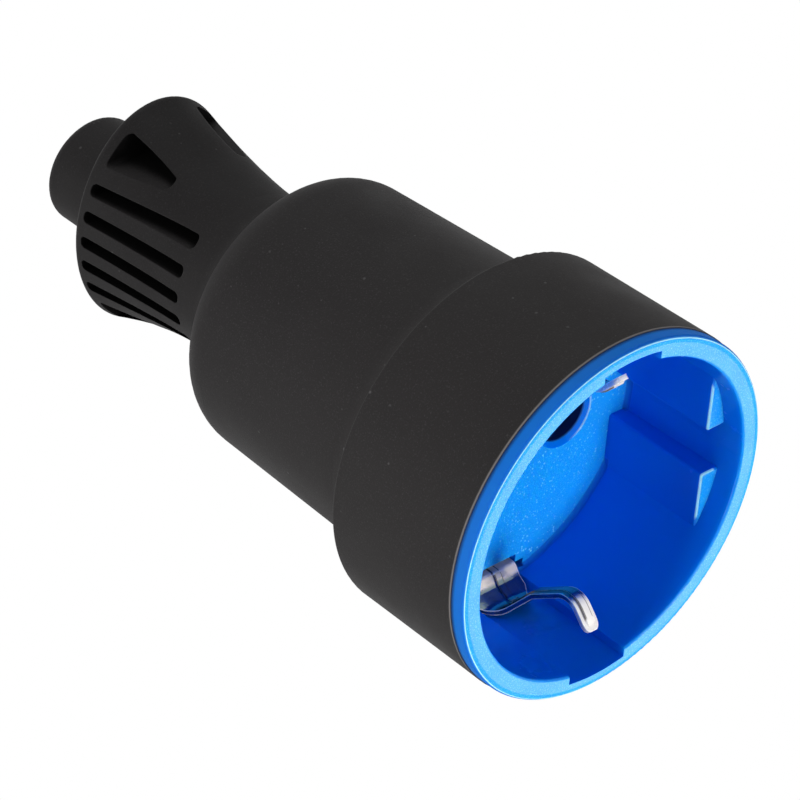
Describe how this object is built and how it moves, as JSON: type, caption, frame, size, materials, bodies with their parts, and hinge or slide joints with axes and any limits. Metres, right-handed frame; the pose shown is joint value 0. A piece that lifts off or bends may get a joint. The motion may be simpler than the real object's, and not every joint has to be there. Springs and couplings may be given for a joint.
{
  "type": "inline socket connector",
  "caption": "Inline mains socket for a cord end: rubber sleeve with slotted strain relief round a deep round earthed recess with two pin holes and side earth springs.",
  "frame": {"origin": "centre of the rim of the recess, the face that the connector stands on", "axes": "+Z along the axis from the rim to the cord end, X through the two pin holes, Y through the two earth springs"},
  "size_m": [0.0448, 0.0446, 0.0889],
  "materials": {
    "sleeve_rubber": "soft matte, faintly sheened at grazing angles",
    "cup_plastic": "semi-gloss with a fine grain on the flange face and the floor",
    "block_plastic": "matte, dark grey",
    "contact_brass": "bare stamped brass",
    "terminal_brass": "bare machined brass",
    "spring_steel": "spring steel",
    "screw_steel": "zinc plated",
    "earth_nickel": "bright nickel plate"
  },
  "bodies": {
    "root": {"rubber_housing": "sleeve_rubber", "socket_cup": "cup_plastic", "contact_carrier": "block_plastic", "terminal_cover": "block_plastic", "live_contact": "contact_brass", "neutral_contact": "contact_brass", "live_contact_spring": "spring_steel", "neutral_contact_spring": "spring_steel", "live_terminal": "terminal_brass", "neutral_terminal": "terminal_brass", "earth_terminal": "terminal_brass", "live_terminal_screw": "screw_steel", "neutral_terminal_screw": "screw_steel", "earth_terminal_screw": "screw_steel", "earth_contact": "earth_nickel", "earth_leg": "earth_nickel", "earth_rivet": "contact_brass", "carrier_screws": "screw_steel", "cord_clamp": "block_plastic", "cord_clamp_screws": "screw_steel", "cord_clamp_nuts": "screw_steel"}
  },
  "joints": []
}
